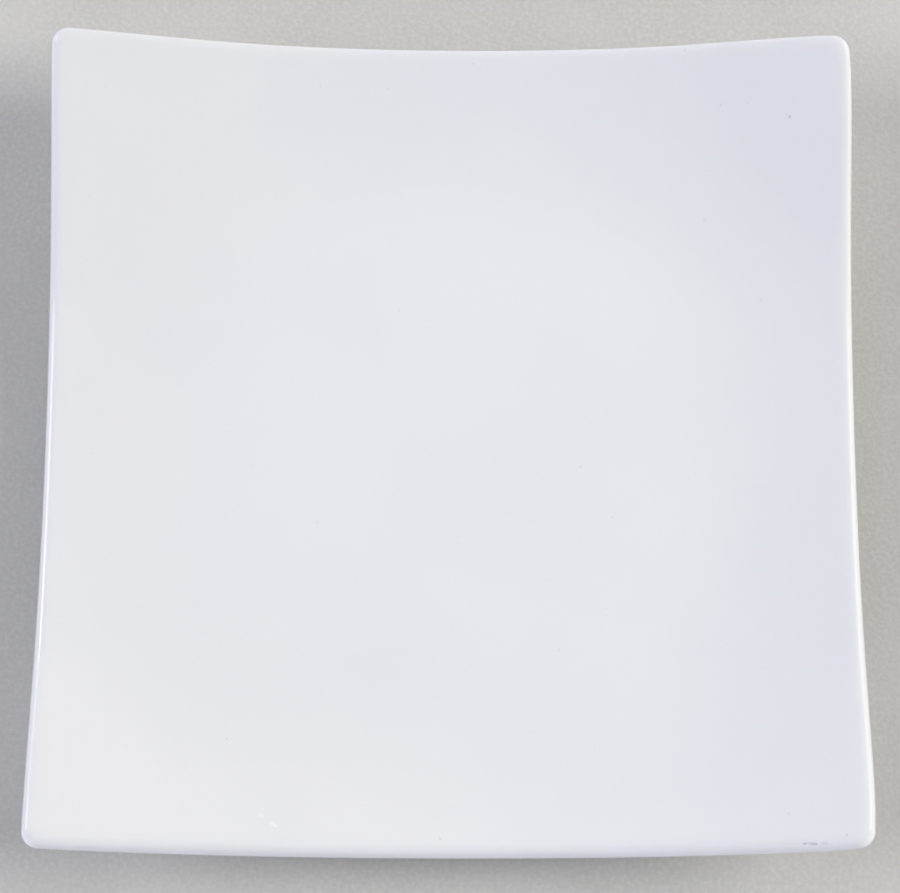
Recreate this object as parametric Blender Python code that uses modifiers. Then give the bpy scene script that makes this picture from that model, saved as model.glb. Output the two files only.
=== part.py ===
"""Square side plate in glazed porcelain: a shallow dish with a flat round well, cut square, so that its
corners lift above the middles of its sides. A fired body carries two coats of glaze, parted by the bare face
of the foot ring on which the plate stands. Metres, +Z up. The origin is the centre of the foot ring, on the
table."""

import math

import bmesh
import bpy
from mathutils import Matrix, Vector

# Plan: width and depth are measured over the glaze on the middle lines. The square came out of the kiln a
# little deeper than it is wide, with a bow in its front and back. The corner is that of the rim's line, where
# the nose begins.
WIDTH = 0.1524
DEPTH = 0.1557
CORNER_RADIUS = 0.0012
FRONT_BOW = 0.0007

# Section of the dish, measured on the middle of its wall
WELL_RADIUS = 0.0440
SWEEP_RADIUS = 0.1050
FLARE_ANGLE = math.radians(24)

# Wall: the body ends in a nose that runs on from the rim's line to its tip, and the glaze lies over it with a
# hairline left for the bond
BODY_WALL = 0.0034
NOSE_LENGTH = 0.0025
GLAZE_THICKNESS = 0.0003
GLAZE_GAP = 0.0002

# Foot ring: its radius runs to the middle of the standing face, its height to the underside of the body
FOOT_RADIUS = 0.0430
FOOT_WIDTH = 0.0035
FOOT_HEIGHT = 0.0030
FOOT_DRAFT = math.radians(8)
FOOT_FILLET = 0.0012
FOOT_EDGE = 0.0005
GLAZE_DROP = 0.0006

# Facets
SIDE_SEGMENTS = 12
CORNER_SEGMENTS = 4
SWEEP_RINGS = 6
UNDERSIDE_RINGS = 5
NOSE_SEGMENTS = 6
FILLET_SEGMENTS = 3
EDGE_SEGMENTS = 2
SHARP_ANGLE = math.radians(35)
AXIS_MERGE = 0.00001

# Worked out from the sizes above
AROUND = 4 * (SIDE_SEGMENTS + CORNER_SEGMENTS)
GLAZE_COVER = GLAZE_GAP + GLAZE_THICKNESS
FILLET_UP = FOOT_HEIGHT - FOOT_FILLET
FILLET_OUT = FOOT_WIDTH / 2 + FILLET_UP * math.tan(FOOT_DRAFT) + FOOT_FILLET / math.cos(FOOT_DRAFT)
GLAZE_LINE = FILLET_UP - GLAZE_DROP
UP = Vector((0, 0, 1))


def clear_scene():
    for obj in list(bpy.data.objects):
        bpy.data.objects.remove(obj, do_unlink=True)


def fired_finish(name, colour, roughness):
    """A plain ceramic surface."""
    material = bpy.data.materials.new(name)
    material.use_nodes = True
    shader = material.node_tree.nodes["Principled BSDF"]
    shader.inputs["Base Color"].default_value = (*colour, 1)
    shader.inputs["Roughness"].default_value = roughness
    shader.inputs["Metallic"].default_value = 0
    return material


def rim_line():
    """Plan points of the rim's line with the way out at each, from the middle of the +X side."""
    inset = NOSE_LENGTH + GLAZE_COVER + CORNER_RADIUS
    half_side = SIDE_SEGMENTS // 2
    line = []
    for quarter in range(4):
        spin = Matrix.Rotation(quarter * math.pi / 2, 3, "Z")
        first, second = spin @ Vector((1, 0, 0)), spin @ Vector((0, 1, 0))
        corner = first + second
        pivot = Vector((corner.x * (WIDTH / 2 - inset), corner.y * (DEPTH / 2 - inset), 0))
        side_middle, next_middle = pivot.project(first), pivot.project(second)
        for step in range(half_side):
            line.append((side_middle.lerp(pivot, step / half_side) + CORNER_RADIUS * first, first))
        for step in range(CORNER_SEGMENTS):
            turn = math.pi / 2 * step / CORNER_SEGMENTS
            out = first * math.cos(turn) + second * math.sin(turn)
            line.append((pivot + CORNER_RADIUS * out, out))
        for step in range(half_side):
            line.append((pivot.lerp(next_middle, step / half_side) + CORNER_RADIUS * second, second))
    for plan, _ in line:
        plan.y *= 1 - FRONT_BOW / (DEPTH / 2) * (plan.x / (WIDTH / 2)) ** 2
    return line


def circle(radius, height):
    turns = [2 * math.pi * step / AROUND for step in range(AROUND)]
    return [Vector((radius * math.cos(turn), radius * math.sin(turn), height)) for turn in turns]


def mid_wall(plan):
    """The middle of the wall above a plan point and the wall's normal there: flat, then arc, then flare."""
    past_well = max(0, plan.length - WELL_RADIUS)
    on_arc = min(past_well, SWEEP_RADIUS * math.sin(FLARE_ANGLE))
    slope = math.asin(on_arc / SWEEP_RADIUS)
    rise = SWEEP_RADIUS * (1 - math.cos(slope)) + (past_well - on_arc) * math.tan(slope)
    middle = plan + UP * (FOOT_HEIGHT + BODY_WALL / 2 + rise)
    normal = UP * math.cos(slope) - plan.normalized() * math.sin(slope)
    return middle, normal


def wall_ring(inner_radius, share, offset):
    """A ring on a skin of the wall, a share of the way from a circle out to the rim's line."""
    ring = []
    for start, (end, _) in zip(circle(inner_radius, 0), rim_line()):
        middle, normal = mid_wall(start.lerp(end, share))
        ring.append(middle + offset * normal)
    return ring


def nose_ring(offset, turn):
    """A ring on a skin of the rim's nose: turn is +90 degrees on the eating face, -90 on the underside."""
    reach = NOSE_LENGTH + offset - BODY_WALL / 2
    ring = []
    for plan, out in rim_line():
        middle, normal = mid_wall(plan)
        along = UP.cross(out)
        tangent = along - UP * (normal.dot(along) / normal.z)
        across = tangent.cross(normal).normalized()
        ring.append(middle + reach * math.cos(turn) * across + offset * math.sin(turn) * normal)
    return ring


def dish_skin(offset):
    """Rings of one skin of the dish: from the well's edge, over the rim, to the fillet outside the foot."""
    rings = [wall_ring(WELL_RADIUS, step / SWEEP_RINGS, offset) for step in range(SWEEP_RINGS)]
    for step in range(NOSE_SEGMENTS + 1):
        rings.append(nose_ring(offset, math.pi / 2 - math.pi * step / NOSE_SEGMENTS))
    for step in reversed(range(UNDERSIDE_RINGS)):
        rings.append(wall_ring(FOOT_RADIUS + FILLET_OUT, step / UNDERSIDE_RINGS, -offset))
    return rings


def foot_fillet(side, cover):
    """(radius, height) from the underside round to a wall of the foot: side 1 is outside it, -1 inside."""
    points = []
    for step in range(1, FILLET_SEGMENTS + 1):
        turn = (math.pi / 2 - FOOT_DRAFT) * step / FILLET_SEGMENTS
        out = FILLET_OUT - (FOOT_FILLET - cover) * math.sin(turn)
        points.append((FOOT_RADIUS + side * out, FILLET_UP + (FOOT_FILLET - cover) * math.cos(turn)))
    return points


def foot_edge(side):
    """(radius, height) round the edge from a wall of the foot to its standing face."""
    points = []
    inset = FOOT_WIDTH / 2 + FOOT_EDGE * math.tan(FOOT_DRAFT) - FOOT_EDGE / math.cos(FOOT_DRAFT)
    for step in range(EDGE_SEGMENTS + 1):
        turn = FOOT_DRAFT + (math.pi / 2 - FOOT_DRAFT) * step / EDGE_SEGMENTS
        out = inset + FOOT_EDGE * math.cos(turn)
        points.append((FOOT_RADIUS + side * out, FOOT_EDGE - FOOT_EDGE * math.sin(turn)))
    return points


def glaze_end(side, cover):
    """(radius, height) where the glaze stops on a wall of the foot."""
    out = FOOT_WIDTH / 2 + GLAZE_LINE * math.tan(FOOT_DRAFT) + cover / math.cos(FOOT_DRAFT)
    return FOOT_RADIUS + side * out, GLAZE_LINE


def circles(points):
    return [circle(radius, height) for radius, height in points]


def add_piece(name, mesh, material, collection, parent):
    piece = bpy.data.objects.new(name, mesh)
    mesh.materials.append(material)
    collection.objects.link(piece)
    piece.parent = parent
    return piece


def loft(name, rings):
    """A closed solid through rings of equal count, with a flat disc on the first and the last."""
    mesh = bpy.data.meshes.new(name)
    shape = bmesh.new()
    loops = [[shape.verts.new(point) for point in ring] for ring in rings]
    for upper, lower in zip(loops, loops[1:]):
        for here in range(AROUND):
            beside = (here + 1) % AROUND
            shape.faces.new((upper[here], lower[here], lower[beside], upper[beside]))
    shape.faces.new(loops[0])
    shape.faces.new(list(reversed(loops[-1])))
    bmesh.ops.triangulate(shape, faces=shape.faces[:], quad_method="SHORT_EDGE")
    shape.to_mesh(mesh)
    shape.free()
    mesh.shade_smooth()
    mesh.set_sharp_from_angle(angle=SHARP_ANGLE)
    return mesh


def porcelain_body():
    """The fired body in one: dish, rim and foot ring with its bare standing face."""
    rings = dish_skin(BODY_WALL / 2)
    rings += circles(foot_fillet(1, 0) + foot_edge(1))
    rings += circles(foot_edge(-1)[::-1] + foot_fillet(-1, 0)[::-1])
    rings.append(circle(FOOT_RADIUS - FILLET_OUT, FOOT_HEIGHT))
    return loft("porcelain_body", rings)


def face_glaze():
    """The coat over the eating face, the rim and the underside, down to its line outside the foot."""
    outer = dish_skin(BODY_WALL / 2 + GLAZE_COVER)
    outer += circles(foot_fillet(1, GLAZE_COVER) + [glaze_end(1, GLAZE_COVER)])
    inner = dish_skin(BODY_WALL / 2 + GLAZE_GAP)
    inner += circles(foot_fillet(1, GLAZE_GAP) + [glaze_end(1, GLAZE_GAP)])
    return loft("face_glaze", outer + inner[::-1])


def base_glaze_profile():
    """Half section of the coat in the recess of the foot, from the axis out, down to its line, and back."""
    bed = [(0, FOOT_HEIGHT - GLAZE_GAP), (FOOT_RADIUS - FILLET_OUT, FOOT_HEIGHT - GLAZE_GAP)]
    bed += foot_fillet(-1, GLAZE_GAP) + [glaze_end(-1, GLAZE_GAP)]
    face = [(0, FOOT_HEIGHT - GLAZE_COVER), (FOOT_RADIUS - FILLET_OUT, FOOT_HEIGHT - GLAZE_COVER)]
    face += foot_fillet(-1, GLAZE_COVER) + [glaze_end(-1, GLAZE_COVER)]
    points = [(radius, 0, height) for radius, height in bed + face[::-1]]
    mesh = bpy.data.meshes.new("base_glaze")
    mesh.from_pydata(points, [(step, step + 1) for step in range(len(points) - 1)], [])
    return mesh


def turn_about_axis(piece):
    screw = piece.modifiers.new("turned", "SCREW")
    screw.axis = "Z"
    screw.angle = 2 * math.pi
    screw.steps = AROUND
    screw.render_steps = AROUND
    screw.use_merge_vertices = True
    screw.merge_threshold = AXIS_MERGE
    screw.use_smooth_shade = True


def build():
    clear_scene()
    collection = bpy.data.collections.new("square_side_plate")
    bpy.context.scene.collection.children.link(collection)
    plate = bpy.data.objects.new("plate_origin", None)
    collection.objects.link(plate)
    biscuit = fired_finish("bare_porcelain", (0.78, 0.76, 0.72), 0.75)
    face_coat = fired_finish("white_face_glaze", (0.80, 0.81, 0.84), 0.08)
    base_coat = fired_finish("white_base_glaze", (0.80, 0.81, 0.84), 0.10)
    add_piece("porcelain_body", porcelain_body(), biscuit, collection, plate)
    add_piece("face_glaze", face_glaze(), face_coat, collection, plate)
    turn_about_axis(add_piece("base_glaze", base_glaze_profile(), base_coat, collection, plate))


build()
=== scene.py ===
# %% [markdown]
# This lesson dresses a square porcelain side plate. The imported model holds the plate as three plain
# solids: a fired body, a coat of glaze over its face and a second coat inside the foot ring. We load that
# model as a frame that never moves, and then lay a finer surface over each solid, give it its finish, and
# light it as in a studio.

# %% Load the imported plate
import math

import bmesh
import bpy
from mathutils import Matrix, Quaternion, Vector


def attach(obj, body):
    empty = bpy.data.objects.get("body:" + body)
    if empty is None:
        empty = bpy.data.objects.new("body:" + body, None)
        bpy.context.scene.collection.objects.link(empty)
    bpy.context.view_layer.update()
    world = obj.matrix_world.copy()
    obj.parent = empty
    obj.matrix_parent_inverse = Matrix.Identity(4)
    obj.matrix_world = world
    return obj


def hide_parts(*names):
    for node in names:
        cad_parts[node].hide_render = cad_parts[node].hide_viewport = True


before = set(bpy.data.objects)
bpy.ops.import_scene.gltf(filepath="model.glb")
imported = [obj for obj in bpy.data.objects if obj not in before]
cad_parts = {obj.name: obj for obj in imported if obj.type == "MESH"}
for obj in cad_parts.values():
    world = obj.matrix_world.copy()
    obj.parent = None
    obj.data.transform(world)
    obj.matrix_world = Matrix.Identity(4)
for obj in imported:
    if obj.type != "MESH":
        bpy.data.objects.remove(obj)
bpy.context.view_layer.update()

print("solids:", sorted(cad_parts))

# %% [markdown]
# The plate is a shallow round dish that was cut square before it was fired. Its wall follows one section,
# turned about the middle: a flat well, an arc that rises out of it, and a straight flare that only the
# corners reach. So the height of a point depends only on its distance from the middle, and the square
# outline alone makes the corners lift and the sides dip. A function of the plan point says all of this.
# The sizes are in metres.

# %% The section through the wall
WELL_RADIUS = 0.0440
SWEEP_RADIUS = 0.1050
FLARE_ANGLE = math.radians(24)
BODY_WALL = 0.0034
FOOT_HEIGHT = 0.0030
UP = Vector((0, 0, 1))


def mid_wall(plan):
    """The middle of the wall above a plan point, and the wall's normal there."""
    past_well = max(0, plan.length - WELL_RADIUS)
    on_arc = min(past_well, SWEEP_RADIUS * math.sin(FLARE_ANGLE))
    slope = math.asin(on_arc / SWEEP_RADIUS)
    rise = SWEEP_RADIUS * (1 - math.cos(slope)) + (past_well - on_arc) * math.tan(slope)
    normal = UP * math.cos(slope) - plan.normalized() * math.sin(slope)
    return plan + UP * (FOOT_HEIGHT + BODY_WALL / 2 + rise), normal


print("the middle of the wall in the well is", round(mid_wall(Vector())[0].z * 1000, 1), "mm up")

# %% [markdown]
# The rim is where the dish was cut. In plan it is a square with small round corners, whose front and back
# bow out by a hair, as a slab does in the kiln. We walk round it a quarter at a time: half a side, a
# corner and half the next side. Then we bow the front and the back, and ease every side in just before
# its corner. On this plate the right-hand corners are eased more than the left.
#
# The nose of the rim reaches out from this line. If it went straight out everywhere, its tip would have
# wide, soft corners. On the real plate they are crisper, so the tip is drawn out a little at the corners,
# as a frame is mitred. Every point of the line therefore carries the way out and the way to the tip.

# %% The line of the rim
WIDTH = 0.1524
DEPTH = 0.1557
CORNER_RADIUS = 0.0012
NOSE_LENGTH = 0.0025
TIP_CORNER_RADIUS = 0.0028
FRONT_BOW = 0.0007
RIGHT_DRAW = 0.00013
LEFT_EASE = 0.0005
RIGHT_EASE = 0.00145
FRONT_EASE_SHARE = 0.65
EASE_POWER = 14
GLAZE_THICKNESS = 0.0003
GLAZE_BOND = 0.0002
GLAZE_COVER = GLAZE_BOND + GLAZE_THICKNESS
SIDE_STEPS = 48
CORNER_STEPS = 16
AROUND = 4 * (SIDE_STEPS + CORNER_STEPS)


def trace_rim():
    """Plan points of the rim's line, with the way out and the way to the tip, from the middle of +X."""
    nose = NOSE_LENGTH + GLAZE_COVER
    inset = nose + CORNER_RADIUS
    mitre = 1 - (TIP_CORNER_RADIUS - CORNER_RADIUS) / nose
    half_side = SIDE_STEPS // 2
    line = []
    for quarter in range(4):
        spin = Matrix.Rotation(quarter * math.pi / 2, 3, "Z")
        first, second = spin @ Vector((1, 0, 0)), spin @ Vector((0, 1, 0))
        corner = first + second
        pivot = Vector((corner.x * (WIDTH / 2 - inset), corner.y * (DEPTH / 2 - inset), 0))
        side_middle, next_middle = pivot.project(first), pivot.project(second)
        for step in range(half_side):
            share = step / half_side
            plan = side_middle.lerp(pivot, share) + CORNER_RADIUS * first
            line.append((plan, first, first + mitre * share * second))
        for step in range(CORNER_STEPS):
            turn = math.pi / 2 * step / CORNER_STEPS
            out = first * math.cos(turn) + second * math.sin(turn)
            line.append((pivot + CORNER_RADIUS * out, out, out.lerp(corner, mitre)))
        for step in range(half_side):
            share = step / half_side
            plan = pivot.lerp(next_middle, share) + CORNER_RADIUS * second
            line.append((plan, second, second + mitre * (1 - share) * first))
    for plan, _, _ in line:
        right, back = plan.x / (WIDTH / 2), plan.y / (DEPTH / 2)
        ease = LEFT_EASE + (RIGHT_EASE - LEFT_EASE) * (1 + right) / 2
        drawn = FRONT_BOW * right**2 + RIGHT_DRAW * right + FRONT_EASE_SHARE * ease * right**EASE_POWER
        plan.x *= 1 - ease * back**EASE_POWER / (WIDTH / 2)
        plan.y *= 1 - drawn / (DEPTH / 2)
    return line


RIM_LINE = trace_rim()
print("the rim has", len(RIM_LINE), "points")

# %% [markdown]
# A ring of points can be a circle near the middle and a rounded square at the rim. If both have as many
# points, every ring between them is a mix of the two, and neighbouring rings join up in clean quads. That
# is a loft, and it follows the real shape closer than a subdivided box would. The last rings turn about
# the rim's line, which makes the round nose that is nice to hold. Half an ellipse would do, but the end
# of the real nose is fuller: raised to a power below one, the sine and cosine of the turn give a
# superellipse, a shape between an ellipse and a box. It is trimmed a little, so that the plate stays
# about as wide as with the ellipse.

# %% Rings from the round well to the square rim
NOSE_FULLNESS = 3.5
NOSE_TRIM = 0.98


def circle(radius, height):
    turns = [2 * math.pi * step / AROUND for step in range(AROUND)]
    return [Vector((radius * math.cos(turn), radius * math.sin(turn), height)) for turn in turns]


def wall_ring(inner_radius, share, offset):
    """A ring on a skin of the wall, a share of the way from a circle out to the rim's line."""
    ring = []
    for start, (end, _, _) in zip(circle(inner_radius, 0), RIM_LINE):
        middle, normal = mid_wall(start.lerp(end, share))
        ring.append(middle + offset * normal)
    return ring


def nose_ring(offset, turn):
    """A ring on the nose: turn is +90 degrees on the eating face and -90 on the underside."""
    reach = NOSE_TRIM * (NOSE_LENGTH + offset - BODY_WALL / 2)
    forward = reach * max(0, math.cos(turn)) ** (2 / NOSE_FULLNESS)
    upward = offset * math.copysign(abs(math.sin(turn)) ** (2 / NOSE_FULLNESS), turn)
    ring = []
    for plan, out, to_tip in RIM_LINE:
        middle, normal = mid_wall(plan)
        along = UP.cross(out)
        tangent = along - UP * (normal.dot(along) / normal.z)
        across = tangent.cross(normal).normalized()
        way = to_tip.dot(out) * across + to_tip.dot(along) * tangent
        ring.append(middle + forward * way + upward * normal)
    return ring


nose_tip = nose_ring(BODY_WALL / 2 + GLAZE_COVER, 0)
print("the nose stands", round(nose_tip[0].z * 1000, 1), "mm up at the middle of a side and",
      round(max(point.z for point in nose_tip) * 1000, 1), "mm at a corner")

# %% [markdown]
# Under the plate stands a foot ring: two drafted walls, rounded where they meet the base and again at the
# standing face. The standing face is wiped bare before firing, or the plate would stick to the kiln
# shelf, and the glaze stops a little way up each wall in a soft bead. Both walls are one outline,
# mirrored about the middle of the foot, so every function below takes a side: 1 outside the ring and -1
# inside it.

# %% The foot ring
FOOT_RADIUS = 0.0430
FOOT_WIDTH = 0.0035
FOOT_DRAFT = math.radians(8)
FOOT_FILLET = 0.0012
FOOT_EDGE = 0.0005
FILLET_UP = FOOT_HEIGHT - FOOT_FILLET
FILLET_OUT = FOOT_WIDTH / 2 + FILLET_UP * math.tan(FOOT_DRAFT) + FOOT_FILLET / math.cos(FOOT_DRAFT)
FILLET_STEPS = 8
EDGE_STEPS = 6


def foot_fillet(side, cover):
    """(radius, height) from the underside round to a wall of the foot."""
    points = []
    for step in range(1, FILLET_STEPS + 1):
        turn = (math.pi / 2 - FOOT_DRAFT) * step / FILLET_STEPS
        out = FILLET_OUT - (FOOT_FILLET - cover) * math.sin(turn)
        points.append((FOOT_RADIUS + side * out, FILLET_UP + (FOOT_FILLET - cover) * math.cos(turn)))
    return points


def foot_edge(side):
    """(radius, height) round the edge from a wall of the foot to its standing face."""
    points = []
    inset = FOOT_WIDTH / 2 + FOOT_EDGE * math.tan(FOOT_DRAFT) - FOOT_EDGE / math.cos(FOOT_DRAFT)
    for step in range(EDGE_STEPS + 1):
        turn = FOOT_DRAFT + (math.pi / 2 - FOOT_DRAFT) * step / EDGE_STEPS
        out = inset + FOOT_EDGE * math.cos(turn)
        points.append((FOOT_RADIUS + side * out, FOOT_EDGE - FOOT_EDGE * math.sin(turn)))
    return points


print("the foot ring is", round(2000 * (FOOT_RADIUS + FOOT_WIDTH / 2), 1), "mm across")

# %% [markdown]
# A molten glaze draws itself up into a rounded end where the clay was wiped. Half a circle across the
# thickness of the coat makes that bead.

# %% The bead at the end of the glaze
GLAZE_DROP = 0.0006
BEAD_STEPS = 6


def glaze_bead(side):
    """(radius, height) round the end of the glaze on a wall of the foot, from its face to its bed."""
    height = FILLET_UP - GLAZE_DROP
    middle = FOOT_WIDTH / 2 + height * math.tan(FOOT_DRAFT)
    middle += (GLAZE_BOND + GLAZE_THICKNESS / 2) / math.cos(FOOT_DRAFT)
    points = []
    for step in range(BEAD_STEPS + 1):
        turn = math.pi * step / BEAD_STEPS
        out = middle + GLAZE_THICKNESS / 2 * math.cos(turn)
        points.append((FOOT_RADIUS + side * out, height - GLAZE_THICKNESS / 2 * math.sin(turn)))
    return points


print("the glaze stops", round(min(height for _, height in glaze_bead(1)) * 1000, 2), "mm above the table")

# %% [markdown]
# Each piece is a chain of rings. The dish chain runs from the middle of the well out over the rim and
# back under to the foot, and the base chain fills the recess inside the foot. Both take an offset or a
# cover, so the same chain gives the body, the bed of the glaze and its glossy face, each a hair's breadth
# from the next.

# %% Chains of rings
WELL_RINGS = 10
SWEEP_RINGS = 30
NOSE_STEPS = 16
UNDERSIDE_RINGS = 28
WELL_HUB = 0.0015


def circles(points):
    return [circle(radius, height) for radius, height in points]


def flat_rings(outer_radius, height):
    steps = [step / WELL_RINGS for step in range(WELL_RINGS)]
    return [circle(WELL_HUB + (outer_radius - WELL_HUB) * step, height) for step in steps]


def dish_rings(offset):
    rings = flat_rings(WELL_RADIUS, FOOT_HEIGHT + BODY_WALL / 2 + offset)
    rings += [wall_ring(WELL_RADIUS, step / SWEEP_RINGS, offset) for step in range(SWEEP_RINGS)]
    turns = [math.pi / 2 - math.pi * step / NOSE_STEPS for step in range(NOSE_STEPS + 1)]
    rings += [nose_ring(offset, turn) for turn in turns]
    for step in reversed(range(UNDERSIDE_RINGS)):
        rings.append(wall_ring(FOOT_RADIUS + FILLET_OUT, step / UNDERSIDE_RINGS, -offset))
    return rings


def base_rings(cover):
    rim = FOOT_RADIUS - FILLET_OUT
    rings = flat_rings(rim, FOOT_HEIGHT - cover) + [circle(rim, FOOT_HEIGHT - cover)]
    return rings + circles(foot_fillet(-1, cover))


print("rings in a dish chain:", len(dish_rings(0)), "and in a base chain:", len(base_rings(0)))

# %% [markdown]
# One function turns a chain into a closed mesh: quads between neighbouring rings and a small disc at
# either end. A chain that starts on top winds one way, and the coat in the recess, which starts
# underneath, winds the other, so that all faces point out of the material.

# %% Loft a chain into a mesh
def loft(name, rings, top_first):
    shape = bmesh.new()
    loops = [[shape.verts.new(point) for point in ring] for ring in rings]
    for upper, lower in zip(loops, loops[1:]):
        for here in range(AROUND):
            beside = (here + 1) % AROUND
            corners = (upper[here], lower[here], lower[beside], upper[beside])
            shape.faces.new(corners if top_first else corners[::-1])
    shape.faces.new(loops[0] if top_first else loops[0][::-1])
    shape.faces.new(loops[-1][::-1] if top_first else loops[-1])
    volume = shape.calc_volume(signed=True)
    mesh = bpy.data.meshes.new(name)
    shape.to_mesh(mesh)
    shape.free()
    mesh.shade_smooth()
    piece = bpy.data.objects.new(name, mesh)
    bpy.context.scene.collection.objects.link(piece)
    print(name, "has", len(mesh.polygons), "faces and holds", round(volume * 1e6, 2), "cubic cm")
    return piece


# %% [markdown]
# The fired body is the whole plate in bare porcelain. All of it hides under glaze but the standing face
# of the foot, yet it is made in full, because a bead of glaze with nothing behind it would look hollow
# from below.

# %% The fired body
body_chain = dish_rings(BODY_WALL / 2)
body_chain += circles(foot_fillet(1, 0) + foot_edge(1) + foot_edge(-1)[::-1])
body_chain += base_rings(0)[::-1]
body = loft("fired_body", body_chain, top_first=True)
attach(body, "root")
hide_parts("porcelain_body")

# %% [markdown]
# The plate is dipped, so one coat covers the eating face, the rim and the underside as far as the foot.
# It is a thin shell: out along its glossy face, round the bead at the foot, and back along its bed next
# to the body.

# %% The glaze over the face, the rim and the underside
face_chain = dish_rings(BODY_WALL / 2 + GLAZE_COVER)
face_chain += circles(foot_fillet(1, GLAZE_COVER) + glaze_bead(1))
face_chain += (dish_rings(BODY_WALL / 2 + GLAZE_BOND) + circles(foot_fillet(1, GLAZE_BOND)))[::-1]
face_coat = loft("glazed_face", face_chain, top_first=True)
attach(face_coat, "root")
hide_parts("face_glaze")

# %% [markdown]
# Wiping the foot parts off a round patch of glaze inside it, which is a piece of its own.

# %% The glaze inside the foot ring
base_chain = base_rings(GLAZE_COVER) + circles(glaze_bead(-1)) + base_rings(GLAZE_BOND)[::-1]
base_coat = loft("glazed_base", base_chain, top_first=False)
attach(base_coat, "root")
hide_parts("base_glaze")

# %% [markdown]
# Every finish below is made of shader nodes. A few helpers keep them short to write: one places a node
# and gives each of its inputs a number or a link, and the others name the sums that come up again and
# again.

# %% Helpers for node trees
def add_node(tree, kind, values=None, **options):
    """Place a node, choose its options, and give each named or numbered input a value or a link."""
    node = tree.nodes.new(kind)
    for option, choice in options.items():
        setattr(node, option, choice)
    for socket, value in (values or {}).items():
        if isinstance(value, bpy.types.NodeSocket):
            tree.links.new(value, node.inputs[socket])
        else:
            node.inputs[socket].default_value = value
    return node


def math_node(tree, operation, *values):
    return add_node(tree, "ShaderNodeMath", dict(enumerate(values)), operation=operation).outputs["Value"]


def vector_node(tree, operation, *values):
    return add_node(tree, "ShaderNodeVectorMath", dict(enumerate(values)), operation=operation).outputs


def fade(tree, value, start, end):
    """0 at start and 1 at end, with a soft curve between. Either of the two may be the larger."""
    limits = {"Value": value, "From Min": start, "From Max": end}
    return add_node(tree, "ShaderNodeMapRange", limits, interpolation_type="SMOOTHSTEP").outputs["Result"]


def spread(tree, value, limits):
    """A value between 0 and 1, spread between two limits."""
    values = {"Value": value, "To Min": limits[0], "To Max": limits[1]}
    return add_node(tree, "ShaderNodeMapRange", values).outputs["Result"]


def own_place(tree):
    """The place of a surface point in the piece's own frame, in metres."""
    return add_node(tree, "ShaderNodeTexCoord").outputs["Object"]


print("helpers: add_node, math_node, vector_node, fade, spread, own_place")

# %% [markdown]
# An effect that several finishes share is a node group: it is built once, with named sockets, and placed
# in each material with its own values. One helper starts such a group and another places it.

# %% Helpers for node groups
def new_effect(name, inputs, output):
    """An empty group with one output: its tree, its input sockets by name, and its output socket."""
    tree = bpy.data.node_groups.new(name, "ShaderNodeTree")
    for label, value in inputs.items():
        kind = "NodeSocketVector" if isinstance(value, tuple) else "NodeSocketFloat"
        tree.interface.new_socket(label, in_out="INPUT", socket_type=kind).default_value = value
    tree.interface.new_socket(output, in_out="OUTPUT", socket_type="NodeSocketFloat")
    print("effect:", name, "with", list(inputs), "gives", output)
    return tree, tree.nodes.new("NodeGroupInput").outputs, tree.nodes.new("NodeGroupOutput").inputs[output]


def place(tree, effect, values):
    return add_node(tree, "ShaderNodeGroup", values, node_tree=effect).outputs[0]


print("helpers: new_effect, place")

# %% [markdown]
# No fired white is one flat white. The glaze pools a little here and there, bare clay has seen more of
# the flame on one side, and paper takes up damp. One slow noise gives all of these. Its Size is the size
# of a patch in metres, so that the effect stays true to scale, and its Seed moves to another drift of
# patches.

# %% Soft clouding
PATCH_RANGE = (0.3, 0.7)
clouding, given, amount = new_effect("soft_clouding", {"Size": 0.03, "Seed": 0.0}, "Amount")
patches = add_node(clouding, "ShaderNodeTexNoise", {
    "Vector": vector_node(clouding, "ADD", own_place(clouding), given["Seed"])["Vector"],
    "Scale": math_node(clouding, "DIVIDE", 1.0, given["Size"]),
    "Detail": 2.0,
})
clouding.links.new(fade(clouding, patches.outputs["Fac"], *PATCH_RANGE), amount)

# %% [markdown]
# A glaze melts flat but never quite: its skin keeps a faint ripple, known as orange peel, that shows only
# where something bright is mirrored in it. Paper and bare clay have a sharper tooth. Both are heights for
# a bump, so they share one group, in which Detail sets how much fine tooth rides on the ripple.

# %% Surface ripple
ripple, given, height = new_effect("surface_ripple", {"Size": 0.003, "Detail": 0.0}, "Height")
swell = add_node(ripple, "ShaderNodeTexNoise", {
    "Vector": own_place(ripple),
    "Scale": math_node(ripple, "DIVIDE", 1.0, given["Size"]),
    "Detail": given["Detail"],
})
ripple.links.new(swell.outputs["Fac"], height)

# %% [markdown]
# A few grains of iron burn into grey specks in the kiln, and burst bubbles leave pinholes. The cells of a
# Voronoi texture scatter them: each cell holds one point, a random number per cell decides which points
# show, and a second one how large they are. The cells lie in plan, so that each speck is a spot on the
# surface.

# %% Kiln specks
specks, given, mask = new_effect("kiln_specks", {"Spacing": 0.01, "Radius": 0.0002, "Share": 0.5}, "Mask")
cells = add_node(specks, "ShaderNodeTexVoronoi", {
    "Vector": own_place(specks),
    "Scale": math_node(specks, "DIVIDE", 1.0, given["Spacing"]),
}, voronoi_dimensions="2D")
chance = add_node(specks, "ShaderNodeSeparateColor", {"Color": cells.outputs["Color"]}).outputs
reach = math_node(specks, "MULTIPLY", given["Radius"], math_node(specks, "ADD", chance["Green"], 0.5))
away = math_node(specks, "MULTIPLY", cells.outputs["Distance"], given["Spacing"])
spot = fade(specks, away, reach, 0.0)
shown = math_node(specks, "LESS_THAN", chance["Red"], given["Share"])
specks.links.new(math_node(specks, "MULTIPLY", spot, shown), mask)

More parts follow.
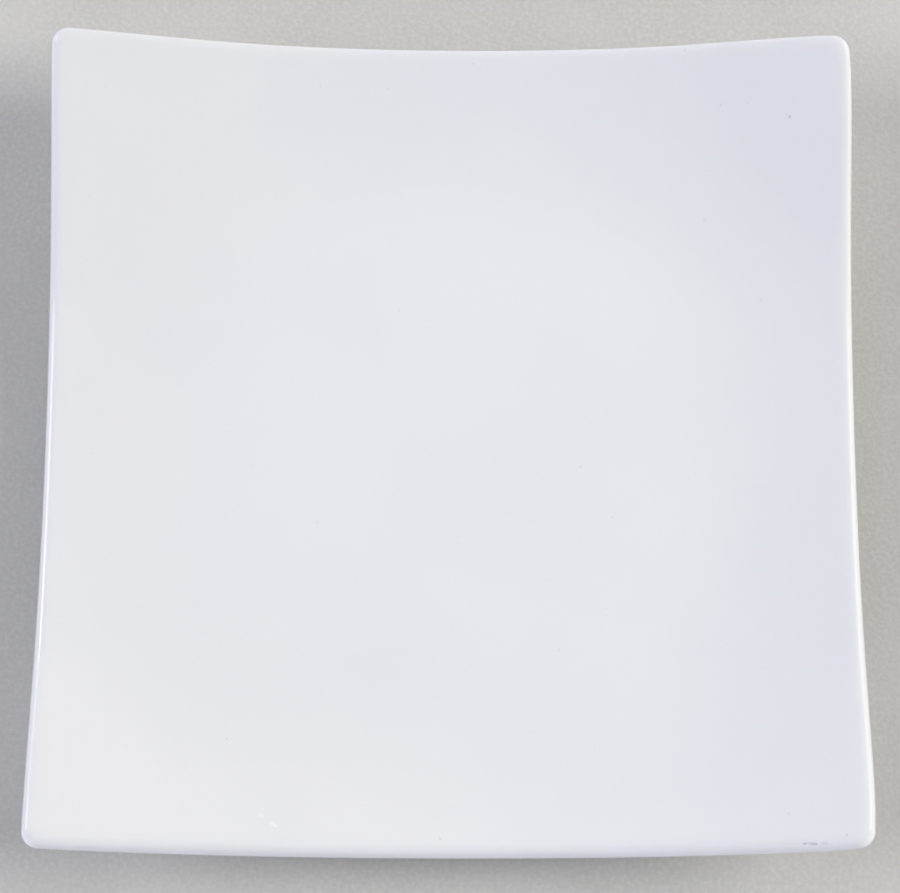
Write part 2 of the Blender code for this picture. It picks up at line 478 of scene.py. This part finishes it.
# %% [markdown]
# Knives leave hairlines on the eating face, and every table top leaves some underneath. A noise that is
# stretched far along one direction has long thin shapes, and where it passes its middle value runs a thin
# line. A second, rounder noise breaks the lines up. Two directions are laid over each other.

# %% Hairline scratches
HAIRLINE_ANGLES = (0.5, 2.2)
HAIRLINE_STRETCH = 24.0
HAIRLINE_BAND = 0.006
hairlines, given, mask = new_effect("hairline_scratches", {"Length": 0.02, "Share": 0.45}, "Mask")
layers = []
for angle in HAIRLINE_ANGLES:
    turn = {"Vector": own_place(hairlines), "Angle": angle}
    turned = add_node(hairlines, "ShaderNodeVectorRotate", turn, rotation_type="Z_AXIS").outputs["Vector"]
    stretched = vector_node(hairlines, "MULTIPLY", turned, (1.0, HAIRLINE_STRETCH, 1.0))["Vector"]
    scale = math_node(hairlines, "DIVIDE", 1.0, given["Length"])
    thread = {"Vector": stretched, "Scale": scale, "Detail": 0.0}
    long_noise = add_node(hairlines, "ShaderNodeTexNoise", thread).outputs["Fac"]
    off_line = math_node(hairlines, "ABSOLUTE", math_node(hairlines, "SUBTRACT", long_noise, 0.5))
    stretch_of_line = {"Vector": turned, "Scale": scale}
    round_noise = add_node(hairlines, "ShaderNodeTexNoise", stretch_of_line).outputs["Fac"]
    kept = math_node(hairlines, "LESS_THAN", round_noise, given["Share"])
    layers.append(math_node(hairlines, "MULTIPLY", fade(hairlines, off_line, HAIRLINE_BAND, 0.0), kept))
hairlines.links.new(math_node(hairlines, "MAXIMUM", *layers), mask)

# %% [markdown]
# Some marks have a known place: a streak of metal that a knife left on the rim, a scuff, a few larger
# specks. A mark is all points nearer than its Width to the line between two plan points, or to one point
# if both are the same.

# %% Marks at known places
mark_inputs = {"From": (0.0, 0.0, 0.0), "To": (0.01, 0.0, 0.0), "Width": 0.001}
marks, given, mask = new_effect("drawn_mark", mark_inputs, "Mask")
in_plan = vector_node(marks, "MULTIPLY", own_place(marks), (1.0, 1.0, 0.0))["Vector"]
stroke = vector_node(marks, "SUBTRACT", given["To"], given["From"])["Vector"]
offset = vector_node(marks, "SUBTRACT", in_plan, given["From"])["Vector"]
along = math_node(
    marks, "DIVIDE",
    vector_node(marks, "DOT_PRODUCT", offset, stroke)["Value"],
    vector_node(marks, "DOT_PRODUCT", stroke, stroke)["Value"],
)
on_stroke = add_node(marks, "ShaderNodeClamp", {"Value": along}).outputs["Result"]
nearest = add_node(marks, "ShaderNodeVectorMath", {"Vector": stroke, "Scale": on_stroke}, operation="SCALE")
off_stroke = vector_node(marks, "SUBTRACT", offset, nearest.outputs["Vector"])["Vector"]
drawn = fade(marks, vector_node(marks, "LENGTH", off_stroke)["Value"], given["Width"], 0.0)
marks.links.new(drawn, mask)

# %% [markdown]
# All finishes start from the same shader, with gloss and colour set on its own sockets where they are
# even. Two helpers lay one colour over another by a mask, and turn a height into a bump of a real depth
# in metres.

# %% Helpers for finishes
def new_finish(name, piece, specular_ior):
    """A material on a piece: its tree and the inputs of its shader."""
    material = bpy.data.materials.new(name)
    material.use_nodes = True
    piece.data.materials.append(material)
    shader = material.node_tree.nodes["Principled BSDF"].inputs
    shader["IOR"].default_value = specular_ior
    print("finish:", name, "on", piece.name)
    return material.node_tree, shader


def blend(tree, amount, below, above):
    """A colour between two, each given as three numbers or as a link."""
    values = {0: amount}
    for socket, colour in ((6, below), (7, above)):
        values[socket] = colour if isinstance(colour, bpy.types.NodeSocket) else (*colour, 1)
    return add_node(tree, "ShaderNodeMix", values, data_type="RGBA").outputs[2]


def bump(tree, height, depth):
    return add_node(tree, "ShaderNodeBump", {"Height": height, "Distance": depth}).outputs["Normal"]


print("helpers: new_finish, blend, bump")

# %% [markdown]
# The glaze over the face is clear glass on white clay. We do not model the glass as a layer: a white that
# drifts by a hundredth, with a sharp reflection on top, looks the same and renders clean. The white leans
# to blue, as porcelain fired without air does.

# %% Glaze on the face: its white
GLAZE_IOR = 1.5
POOLED_WHITE = (0.790, 0.802, 0.835)
THIN_WHITE = (0.810, 0.818, 0.843)
SPECK_GREY = (0.46, 0.46, 0.47)
SPECK_STRENGTH = 0.5
face_tree, face_shader = new_finish("white_face_glaze", face_coat, GLAZE_IOR)
pooling = place(face_tree, clouding, {"Size": 0.035, "Seed": 1.0})
face_colour = blend(face_tree, pooling, POOLED_WHITE, THIN_WHITE)
fine_specks = place(face_tree, specks, {"Spacing": 0.014, "Radius": 0.00016, "Share": 0.35})
faint_specks = math_node(face_tree, "MULTIPLY", fine_specks, SPECK_STRENGTH)
face_colour = blend(face_tree, faint_specks, face_colour, SPECK_GREY)

# %% [markdown]
# The marks of use are listed: where each starts and ends in plan, how wide it is, how far it is
# worn through, how strongly it shows, and its colour. A speck needs fewer values, so it has a helper. A
# loop lays the marks over the white one after another. A fine grain wears the strokes through, as a dry
# stroke is, and the test at the end keeps them off the underside, which has the same plan points.

# %% Glaze on the face: its marks
METAL_GREY = (0.30, 0.32, 0.36)
SCUFF_WHITE = (0.93, 0.93, 0.94)
UPPER_SIDE = 0.2


def speck(x, y, width, strength):
    """A mark that starts and ends at one plan point and isn't worn through."""
    return (x, y, 0), (x, y, 0), width, 0.0, strength, SPECK_GREY


FACE_MARKS = (
    ((0.0628, -0.0759, 0), (0.0650, -0.0760, 0), 0.00034, 0.44, 0.5, METAL_GREY),
    ((0.0652, -0.0759, 0), (0.0668, -0.0759, 0), 0.00032, 0.50, 0.25, METAL_GREY),
    ((-0.0343, -0.0704, 0), (-0.0310, -0.0729, 0), 0.00060, 0.50, 0.5, SCUFF_WHITE),
    speck(0.0644, 0.0619, 0.00045, 0.7),
    speck(0.0702, -0.0745, 0.00040, 0.4),
    speck(0.0516, 0.0652, 0.00040, 0.3),
    speck(0.0447, 0.0756, 0.00035, 0.3),
    speck(0.0042, 0.0745, 0.00035, 0.3),
    speck(0.0246, -0.0044, 0.00035, 0.3),
    speck(0.0591, 0.0279, 0.00035, 0.3),
    speck(0.0485, 0.0438, 0.00035, 0.3),
    speck(0.0202, -0.0393, 0.00035, 0.3),
    speck(-0.0017, -0.0745, 0.00035, 0.3),
)
grain = place(face_tree, ripple, {"Size": 0.0011, "Detail": 2.0})
normal = add_node(face_tree, "ShaderNodeTexCoord").outputs["Normal"]
upwards = add_node(face_tree, "ShaderNodeSeparateXYZ", {"Vector": normal}).outputs["Z"]
upper_side = math_node(face_tree, "GREATER_THAN", upwards, UPPER_SIDE)
marked_colour = face_colour
for start, end, width, breaks, strength, colour in FACE_MARKS:
    drawn = place(face_tree, marks, {"From": start, "To": end, "Width": width})
    unworn = math_node(face_tree, "MULTIPLY", math_node(face_tree, "GREATER_THAN", grain, breaks), strength)
    marked_colour = blend(face_tree, math_node(face_tree, "MULTIPLY", drawn, unworn), marked_colour, colour)
face_colour = blend(face_tree, upper_side, face_colour, marked_colour)
face_tree.links.new(face_colour, face_shader["Base Color"])
print("marks on the face:", len(FACE_MARKS))

# %% [markdown]
# The gloss tells glaze from paint. It is nearly a mirror, softened a little where the glaze pooled and
# much more along the knife hairlines. The ripple is only about a hundredth of a millimetre deep, or it
# would look melted.

# %% Glaze on the face: its gloss
FACE_GLOSS = (0.05, 0.09)
HAIRLINE_ROUGHNESS = 0.12
FACE_RIPPLE = 0.000012
softened = spread(face_tree, pooling, FACE_GLOSS)
knife_lines = place(face_tree, hairlines, {"Length": 0.025, "Share": 0.45})
roughened = math_node(face_tree, "MULTIPLY", knife_lines, HAIRLINE_ROUGHNESS)
face_tree.links.new(math_node(face_tree, "ADD", softened, roughened), face_shader["Roughness"])
orange_peel = place(face_tree, ripple, {"Size": 0.004, "Detail": 0.0})
face_tree.links.new(bump(face_tree, orange_peel, FACE_RIPPLE), face_shader["Normal"])
print("gloss of the face: roughness", FACE_GLOSS, "and a ripple of", round(FACE_RIPPLE * 1000, 3), "mm")

# %% [markdown]
# Inside the foot the same glaze lies thicker and takes less care: it has more pinholes, and it is scuffed
# from being slid on to other plates.

# %% Glaze inside the foot
BASE_GLOSS = (0.08, 0.14)
PINHOLE_GREY = (0.40, 0.38, 0.36)
PINHOLE_STRENGTH = 0.7
SCUFF_ROUGHNESS = 0.2
BASE_RIPPLE = 0.000020
base_tree, base_shader = new_finish("white_base_glaze", base_coat, GLAZE_IOR)
base_pooling = place(base_tree, clouding, {"Size": 0.022, "Seed": 4.0})
base_colour = blend(base_tree, base_pooling, POOLED_WHITE, THIN_WHITE)
pinholes = place(base_tree, specks, {"Spacing": 0.009, "Radius": 0.00022, "Share": 0.5})
faint_pinholes = math_node(base_tree, "MULTIPLY", pinholes, PINHOLE_STRENGTH)
base_colour = blend(base_tree, faint_pinholes, base_colour, PINHOLE_GREY)
base_tree.links.new(base_colour, base_shader["Base Color"])
softened = spread(base_tree, base_pooling, BASE_GLOSS)
slid_lines = place(base_tree, hairlines, {"Length": 0.012, "Share": 0.55})
scuffs = math_node(base_tree, "MULTIPLY", slid_lines, SCUFF_ROUGHNESS)
base_tree.links.new(math_node(base_tree, "ADD", softened, scuffs), base_shader["Roughness"])
base_peel = place(base_tree, ripple, {"Size": 0.003, "Detail": 0.0})
base_tree.links.new(bump(base_tree, base_peel, BASE_RIPPLE), base_shader["Normal"])

# %% [markdown]
# Bare porcelain is fine, dry and a little warmer than the glaze. Where the foot stands it picks up the
# grey of every table it was slid over. The height of a point above the table tells where that is, and the
# clouding leaves some stretches cleaner than others.

# %% Bare porcelain
BARE_WHITE = (0.80, 0.78, 0.74)
BARE_CREAM = (0.75, 0.725, 0.675)
TABLE_GREY = (0.47, 0.455, 0.43)
RUBBED_UP_TO = 0.0004
RUBBED_STRENGTH = 0.6
BARE_ROUGHNESS = (0.70, 0.85)
BARE_TOOTH = 0.00004
bare_tree, bare_shader = new_finish("bare_porcelain", body, GLAZE_IOR)
flame = place(bare_tree, clouding, {"Size": 0.012, "Seed": 7.0})
above_table = add_node(bare_tree, "ShaderNodeSeparateXYZ", {"Vector": own_place(bare_tree)}).outputs["Z"]
rubbed = math_node(bare_tree, "MULTIPLY", fade(bare_tree, above_table, RUBBED_UP_TO, 0.0), flame)
bare_colour = blend(bare_tree, flame, BARE_WHITE, BARE_CREAM)
greyed = math_node(bare_tree, "MULTIPLY", rubbed, RUBBED_STRENGTH)
bare_colour = blend(bare_tree, greyed, bare_colour, TABLE_GREY)
bare_tree.links.new(bare_colour, bare_shader["Base Color"])
bare_tree.links.new(spread(bare_tree, flame, BARE_ROUGHNESS), bare_shader["Roughness"])
tooth = place(bare_tree, ripple, {"Size": 0.0004, "Detail": 3.0})
bare_tree.links.new(bump(bare_tree, tooth, BARE_TOOTH), bare_shader["Normal"])

# %% [markdown]
# The plate lies on a sheet of pale grey studio paper. It is no part of the plate. A round sheet looks the
# same from every side.

# %% Paper floor
PAPER_RADIUS = 3.0
PAPER_SIDES = 64
floor_shape = bmesh.new()
bmesh.ops.create_circle(floor_shape, cap_ends=True, radius=PAPER_RADIUS, segments=PAPER_SIDES)
floor_mesh = bpy.data.meshes.new("paper_floor")
floor_shape.to_mesh(floor_mesh)
floor_shape.free()
floor = bpy.data.objects.new("paper_floor", floor_mesh)
bpy.context.scene.collection.objects.link(floor)
print("paper floor:", PAPER_RADIUS * 2, "m across")

# %% [markdown]
# The fibres of the paper show as a faint mottle in colour and as a fine tooth, and damp has darkened some
# patches. The groups for clouding and ripple give all of this, with values of their own, so no new effect
# is needed.

# %% Paper finish
PAPER_IOR = 1.3
DAMP_GREY = (0.558, 0.554, 0.536)
DRY_GREY = (0.582, 0.578, 0.559)
FIBRE_GREY = (0.622, 0.618, 0.597)
PAPER_ROUGHNESS = (0.85, 0.95)
PAPER_TOOTH = 0.00008
FIBRE_RANGE = (0.35, 0.75)
paper_tree, paper_shader = new_finish("grey_paper", floor, PAPER_IOR)
damp = place(paper_tree, clouding, {"Size": 0.012, "Seed": 2.0})
fibres = place(paper_tree, ripple, {"Size": 0.0009, "Detail": 2.0})
paper_colour = blend(paper_tree, damp, DAMP_GREY, DRY_GREY)
paper_colour = blend(paper_tree, fade(paper_tree, fibres, *FIBRE_RANGE), paper_colour, FIBRE_GREY)
paper_tree.links.new(paper_colour, paper_shader["Base Color"])
paper_tree.links.new(spread(paper_tree, damp, PAPER_ROUGHNESS), paper_shader["Roughness"])
paper_tree.links.new(bump(paper_tree, fibres, PAPER_TOOTH), paper_shader["Normal"])

# %% [markdown]
# White on grey is lit softly and low from all four sides, because light from above would flatten the
# dish. A large softbox on the right is the strongest, a cooler one on the left opens its shadow, and two
# weak ones at the back and in front fill the rest. All are aimed at the plate from the same distance.
#
# A softbox that is large enough to light the plate softly would burn a broad white band into the glaze. A
# photographer hangs a scrim in between. Here the four softboxes are left out of reflections, and two
# small panels, which light nothing, are seen in reflections alone: they draw the fine bright lines along
# the rim. They stand towards the back corners, where the flat well seldom mirrors them.

# %% Softboxes
SOFTBOX_DISTANCE = 2.0
SOFTBOX_AIM = Vector((0, 0, 0.008))


def softbox(name, azimuth, elevation, size, watts, colour, mirrored=False):
    """A rectangular lamp, with its azimuth in degrees from +X towards +Y and its size in metres."""
    light = bpy.data.lights.new(name, "AREA")
    light.shape = "RECTANGLE"
    light.size, light.size_y = size
    light.energy = watts
    light.color = colour
    lamp = bpy.data.objects.new(name, light)
    turn, rise = math.radians(azimuth), math.radians(elevation)
    towards = Vector((math.cos(turn) * math.cos(rise), math.sin(turn) * math.cos(rise), math.sin(rise)))
    lamp.location = SOFTBOX_AIM + towards * SOFTBOX_DISTANCE
    lamp.rotation_mode = "QUATERNION"
    lamp.rotation_quaternion = towards.to_track_quat("Z", "Y")
    lamp.visible_camera = False
    lamp.visible_glossy = mirrored
    lamp.visible_diffuse = not mirrored
    bpy.context.scene.collection.objects.link(lamp)
    print(name, "stands at", [round(value, 2) for value in lamp.location])


softbox("right_softbox", 6, 30, (1.2, 1.4), 40.4, (1.0, 0.98, 0.90))
softbox("left_softbox", 180, 26, (1.2, 1.4), 32.4, (0.92, 0.93, 1.0))
softbox("back_softbox", 90, 18, (1.2, 1.0), 17.8, (0.97, 0.95, 1.0))
softbox("front_softbox", 270, 17, (1.2, 1.0), 16.5, (0.88, 0.88, 1.0))
softbox("left_panel", 159, 31, (0.8, 0.8), 17.0, (1.0, 0.97, 0.92), mirrored=True)
softbox("right_panel", 21, 31, (0.8, 0.8), 9.0, (1.0, 1.0, 1.0), mirrored=True)

# %% [markdown]
# The room adds a weak bluish light from all round. Seen directly or in a reflection, though, it should
# look like the pale wall of a studio. Light Path tells the two kinds of ray apart, so the wall adds no
# light to the plate.

# %% Room light
ROOM_LEVEL = 0.06
ROOM_BLUE = (0.67, 0.75, 1, 1)
BACKDROP = (0.50, 0.50, 0.49, 1)
world = bpy.data.worlds.new("studio_room")
world.use_nodes = True
room_tree = world.node_tree
room_light = room_tree.nodes["Background"]
room_light.inputs["Color"].default_value = ROOM_BLUE
room_light.inputs["Strength"].default_value = ROOM_LEVEL
wall = add_node(room_tree, "ShaderNodeBackground", {"Color": BACKDROP, "Strength": 1.0})
rays = add_node(room_tree, "ShaderNodeLightPath").outputs
seen = math_node(room_tree, "MAXIMUM", rays["Is Camera Ray"], rays["Is Glossy Ray"])
seen = math_node(room_tree, "MAXIMUM", seen, rays["Is Transmission Ray"])
shown = add_node(room_tree, "ShaderNodeMixShader", {0: seen, 1: room_light.outputs[0], 2: wall.outputs[0]})
room_tree.links.new(shown.outputs[0], room_tree.nodes["World Output"].inputs["Surface"])
bpy.context.scene.world = world
print("room light:", ROOM_LEVEL)

# %% [markdown]
# The camera looks down on the plate from in front, half a metre away, through a long lens. Its angles say
# where it stands round the plate, how high, and how far it is tipped about its own axis. The focal length
# is in pixels of the picture, which is 900 wide, so that dividing by that width gives it as a share of
# the sensor.

# %% Camera
IMAGE_WIDTH = 900
FOCAL_PIXELS = 2631.0
VIEW_AZIMUTH = math.radians(-2.132)
VIEW_ELEVATION = math.radians(76.962)
VIEW_ROLL = math.radians(2.361)
VIEW_DISTANCE = 0.4996
VIEW_TARGET = Vector((-0.0001, -0.00007, FOOT_HEIGHT + BODY_WALL / 2))
back = Vector((
    math.sin(VIEW_AZIMUTH) * math.cos(VIEW_ELEVATION),
    -math.cos(VIEW_AZIMUTH) * math.cos(VIEW_ELEVATION),
    math.sin(VIEW_ELEVATION),
))
lens = bpy.data.cameras.new("photo_view")
lens.lens = lens.sensor_width * FOCAL_PIXELS / IMAGE_WIDTH
camera = bpy.data.objects.new("photo_view", lens)
camera.location = VIEW_TARGET + back * VIEW_DISTANCE
camera.rotation_mode = "QUATERNION"
camera.rotation_quaternion = back.to_track_quat("Z", "Y") @ Quaternion((0, 0, 1), VIEW_ROLL)
bpy.context.scene.collection.objects.link(camera)
bpy.context.scene.camera = camera
bpy.context.scene.view_settings.view_transform = "Standard"
print("lens:", round(lens.lens, 1), "mm on a sensor of", lens.sensor_width, "mm")
